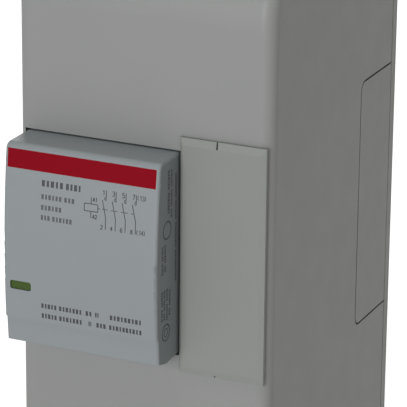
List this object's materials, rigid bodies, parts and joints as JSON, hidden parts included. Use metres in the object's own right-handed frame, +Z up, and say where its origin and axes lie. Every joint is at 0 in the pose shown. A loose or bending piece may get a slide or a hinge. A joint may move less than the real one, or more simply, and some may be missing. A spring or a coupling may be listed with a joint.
{
  "type": "enclosed din rail contactor",
  "caption": "Small grey wall enclosure with a two-module DIN-rail contactor standing through its window beside a snap-in blanking plate; coil, armature, contacts and terminals inside.",
  "frame": {"origin": "middle of the face that lies on the wall, level with the middle of the rail", "axes": "+X to the right seen from the front, +Y into the wall, +Z up"},
  "size_m": [0.059, 0.0822, 0.136],
  "materials": {
    "enclosure_plastic": "satin, light grey",
    "blanking_plastic": "satin, light grey",
    "housing_plastic": "fine matt, grey",
    "face_plastic": "fine matt, light grey",
    "band_print": "semi-gloss red",
    "lens_clear": "clear",
    "flag_green": "matt green",
    "zinc_steel": "zinc plated",
    "core_steel": "ground laminations",
    "copper": "bare copper",
    "silver": "silver",
    "brass_plated": "bright brass",
    "spring_steel": "bright wire",
    "carrier_plastic": "matt black",
    "bobbin_plastic": "matt natural",
    "winding": "enamelled wire",
    "pad_rubber": "soft rubber",
    "board_green": "solder mask",
    "component_dark": "moulded"
  },
  "bodies": {
    "enclosure": {"enclosure_base": "enclosure_plastic", "din_rail": "zinc_steel", "rail_screws": "zinc_steel", "base_housing": "housing_plastic", "contact_housing": "housing_plastic", "housing_screws": "zinc_steel", "nose_cover": "housing_plastic", "face_plate": "face_plastic", "face_band": "band_print", "indicator_lens": "lens_clear", "magnet_core": "core_steel", "core_rivets": "zinc_steel", "core_pads": "pad_rubber", "coil_bobbin": "bobbin_plastic", "coil_winding": "winding", "rectifier_board": "board_green", "rectifier_parts": "component_dark", "line_contacts": "copper", "load_contacts": "copper", "fixed_tips": "silver", "coil_strips": "brass_plated", "return_spring_top": "spring_steel", "return_spring_bottom": "spring_steel", "clip_spring": "spring_steel", "lock_bracket_top": "zinc_steel", "lock_bracket_bottom": "zinc_steel"},
    "cover": {"enclosure_cover": "enclosure_plastic"},
    "cover_screw_top": {"cover_screw_top": "enclosure_plastic"},
    "cover_screw_bottom": {"cover_screw_bottom": "enclosure_plastic"},
    "blanking_plate": {"blanking_plate": "blanking_plastic"},
    "contact_carrier": {"contact_carrier": "carrier_plastic", "armature": "core_steel", "armature_pin": "zinc_steel", "indicator_flag": "flag_green", "contact_springs": "spring_steel"},
    "contact_bridges": {"contact_bridges": "copper", "moving_tips": "silver"},
    "rail_clip": {"rail_clip": "carrier_plastic"},
    "terminal_screw_a1": {"terminal_screw_a1": "zinc_steel"},
    "terminal_clamp_a1": {"terminal_clamp_a1": "zinc_steel"},
    "terminal_screw_1": {"terminal_screw_1": "zinc_steel"},
    "terminal_clamp_1": {"terminal_clamp_1": "zinc_steel"},
    "terminal_screw_3": {"terminal_screw_3": "zinc_steel"},
    "terminal_clamp_3": {"terminal_clamp_3": "zinc_steel"},
    "terminal_screw_5": {"terminal_screw_5": "zinc_steel"},
    "terminal_clamp_5": {"terminal_clamp_5": "zinc_steel"},
    "terminal_screw_7": {"terminal_screw_7": "zinc_steel"},
    "terminal_clamp_7": {"terminal_clamp_7": "zinc_steel"},
    "terminal_screw_a2": {"terminal_screw_a2": "zinc_steel"},
    "terminal_clamp_a2": {"terminal_clamp_a2": "zinc_steel"},
    "terminal_screw_2": {"terminal_screw_2": "zinc_steel"},
    "terminal_clamp_2": {"terminal_clamp_2": "zinc_steel"},
    "terminal_screw_4": {"terminal_screw_4": "zinc_steel"},
    "terminal_clamp_4": {"terminal_clamp_4": "zinc_steel"},
    "terminal_screw_6": {"terminal_screw_6": "zinc_steel"},
    "terminal_clamp_6": {"terminal_clamp_6": "zinc_steel"},
    "terminal_screw_8": {"terminal_screw_8": "zinc_steel"},
    "terminal_clamp_8": {"terminal_clamp_8": "zinc_steel"}
  },
  "joints": [
    {"name": "cover_lift", "type": "slide", "parent": "enclosure", "child": "cover", "axis": [0, -1, 0], "range_m": [0, 0.085]},
    {"name": "cover_screw_top_turn", "type": "hinge", "parent": "cover", "child": "cover_screw_top", "pos_m": [0, -0.062, 0.06], "axis": [0, 1, 0], "range_deg": [0, 90]},
    {"name": "cover_screw_bottom_turn", "type": "hinge", "parent": "cover", "child": "cover_screw_bottom", "pos_m": [0, -0.062, -0.06], "axis": [0, 1, 0], "range_deg": [0, 90]},
    {"name": "blanking_plate_pull", "type": "slide", "parent": "cover", "child": "blanking_plate", "axis": [0, -1, 0], "range_m": [0, 0.012]},
    {"name": "armature_slide", "type": "slide", "parent": "enclosure", "child": "contact_carrier", "axis": [0, 1, 0], "range_m": [0, 0.003], "stiffness_N_per_m": 800, "springref_m": -0.006, "deforming": ["return_spring_top", "return_spring_bottom"]},
    {"name": "bridge_slide", "type": "slide", "parent": "enclosure", "child": "contact_bridges", "axis": [0, 1, 0], "range_m": [0, 0.00216], "deforming": ["contact_springs"]},
    {"name": "rail_clip_slide", "type": "slide", "parent": "enclosure", "child": "rail_clip", "axis": [0, 0, -1], "range_m": [0, 0.004], "stiffness_N_per_m": 600, "springref_m": -0.004, "deforming": ["clip_spring"]},
    {"name": "terminal_screw_a1_turn", "type": "hinge", "parent": "enclosure", "child": "terminal_screw_a1", "pos_m": [-0.02315, -0.066, 0.033], "axis": [0, 1, 0], "range_deg": [0, 1440]},
    {"name": "terminal_clamp_a1_slide", "type": "slide", "parent": "enclosure", "child": "terminal_clamp_a1", "axis": [0, -1, 0], "range_m": [0, 0.0024]},
    {"name": "terminal_screw_1_turn", "type": "hinge", "parent": "enclosure", "child": "terminal_screw_1", "pos_m": [-0.01628, -0.066, 0.033], "axis": [0, 1, 0], "range_deg": [0, 1440]},
    {"name": "terminal_clamp_1_slide", "type": "slide", "parent": "enclosure", "child": "terminal_clamp_1", "axis": [0, -1, 0], "range_m": [0, 0.0024]},
    {"name": "terminal_screw_3_turn", "type": "hinge", "parent": "enclosure", "child": "terminal_screw_3", "pos_m": [-0.0094, -0.066, 0.033], "axis": [0, 1, 0], "range_deg": [0, 1440]},
    {"name": "terminal_clamp_3_slide", "type": "slide", "parent": "enclosure", "child": "terminal_clamp_3", "axis": [0, -1, 0], "range_m": [0, 0.0024]},
    {"name": "terminal_screw_5_turn", "type": "hinge", "parent": "enclosure", "child": "terminal_screw_5", "pos_m": [-0.00252, -0.066, 0.033], "axis": [0, 1, 0], "range_deg": [0, 1440]},
    {"name": "terminal_clamp_5_slide", "type": "slide", "parent": "enclosure", "child": "terminal_clamp_5", "axis": [0, -1, 0], "range_m": [0, 0.0024]},
    {"name": "terminal_screw_7_turn", "type": "hinge", "parent": "enclosure", "child": "terminal_screw_7", "pos_m": [0.00435, -0.066, 0.033], "axis": [0, 1, 0], "range_deg": [0, 1440]},
    {"name": "terminal_clamp_7_slide", "type": "slide", "parent": "enclosure", "child": "terminal_clamp_7", "axis": [0, -1, 0], "range_m": [0, 0.0024]},
    {"name": "terminal_screw_a2_turn", "type": "hinge", "parent": "enclosure", "child": "terminal_screw_a2", "pos_m": [-0.02315, -0.066, -0.033], "axis": [0, 1, 0], "range_deg": [0, 1440]},
    {"name": "terminal_clamp_a2_slide", "type": "slide", "parent": "enclosure", "child": "terminal_clamp_a2", "axis": [0, -1, 0], "range_m": [0, 0.0024]},
    {"name": "terminal_screw_2_turn", "type": "hinge", "parent": "enclosure", "child": "terminal_screw_2", "pos_m": [-0.01628, -0.066, -0.033], "axis": [0, 1, 0], "range_deg": [0, 1440]},
    {"name": "terminal_clamp_2_slide", "type": "slide", "parent": "enclosure", "child": "terminal_clamp_2", "axis": [0, -1, 0], "range_m": [0, 0.0024]},
    {"name": "terminal_screw_4_turn", "type": "hinge", "parent": "enclosure", "child": "terminal_screw_4", "pos_m": [-0.0094, -0.066, -0.033], "axis": [0, 1, 0], "range_deg": [0, 1440]},
    {"name": "terminal_clamp_4_slide", "type": "slide", "parent": "enclosure", "child": "terminal_clamp_4", "axis": [0, -1, 0], "range_m": [0, 0.0024]},
    {"name": "terminal_screw_6_turn", "type": "hinge", "parent": "enclosure", "child": "terminal_screw_6", "pos_m": [-0.00252, -0.066, -0.033], "axis": [0, 1, 0], "range_deg": [0, 1440]},
    {"name": "terminal_clamp_6_slide", "type": "slide", "parent": "enclosure", "child": "terminal_clamp_6", "axis": [0, -1, 0], "range_m": [0, 0.0024]},
    {"name": "terminal_screw_8_turn", "type": "hinge", "parent": "enclosure", "child": "terminal_screw_8", "pos_m": [0.00435, -0.066, -0.033], "axis": [0, 1, 0], "range_deg": [0, 1440]},
    {"name": "terminal_clamp_8_slide", "type": "slide", "parent": "enclosure", "child": "terminal_clamp_8", "axis": [0, -1, 0], "range_m": [0, 0.0024]}
  ],
  "couplings": [
    {"joint": "bridge_slide", "follows": "armature_slide", "ratio": 0.7167},
    {"joint": "terminal_clamp_a1_slide", "follows": "terminal_screw_a1_turn", "m_per_rad": 0.00009549},
    {"joint": "terminal_clamp_1_slide", "follows": "terminal_screw_1_turn", "m_per_rad": 0.00009549},
    {"joint": "terminal_clamp_3_slide", "follows": "terminal_screw_3_turn", "m_per_rad": 0.00009549},
    {"joint": "terminal_clamp_5_slide", "follows": "terminal_screw_5_turn", "m_per_rad": 0.00009549},
    {"joint": "terminal_clamp_7_slide", "follows": "terminal_screw_7_turn", "m_per_rad": 0.00009549},
    {"joint": "terminal_clamp_a2_slide", "follows": "terminal_screw_a2_turn", "m_per_rad": 0.00009549},
    {"joint": "terminal_clamp_2_slide", "follows": "terminal_screw_2_turn", "m_per_rad": 0.00009549},
    {"joint": "terminal_clamp_4_slide", "follows": "terminal_screw_4_turn", "m_per_rad": 0.00009549},
    {"joint": "terminal_clamp_6_slide", "follows": "terminal_screw_6_turn", "m_per_rad": 0.00009549},
    {"joint": "terminal_clamp_8_slide", "follows": "terminal_screw_8_turn", "m_per_rad": 0.00009549}
  ]
}
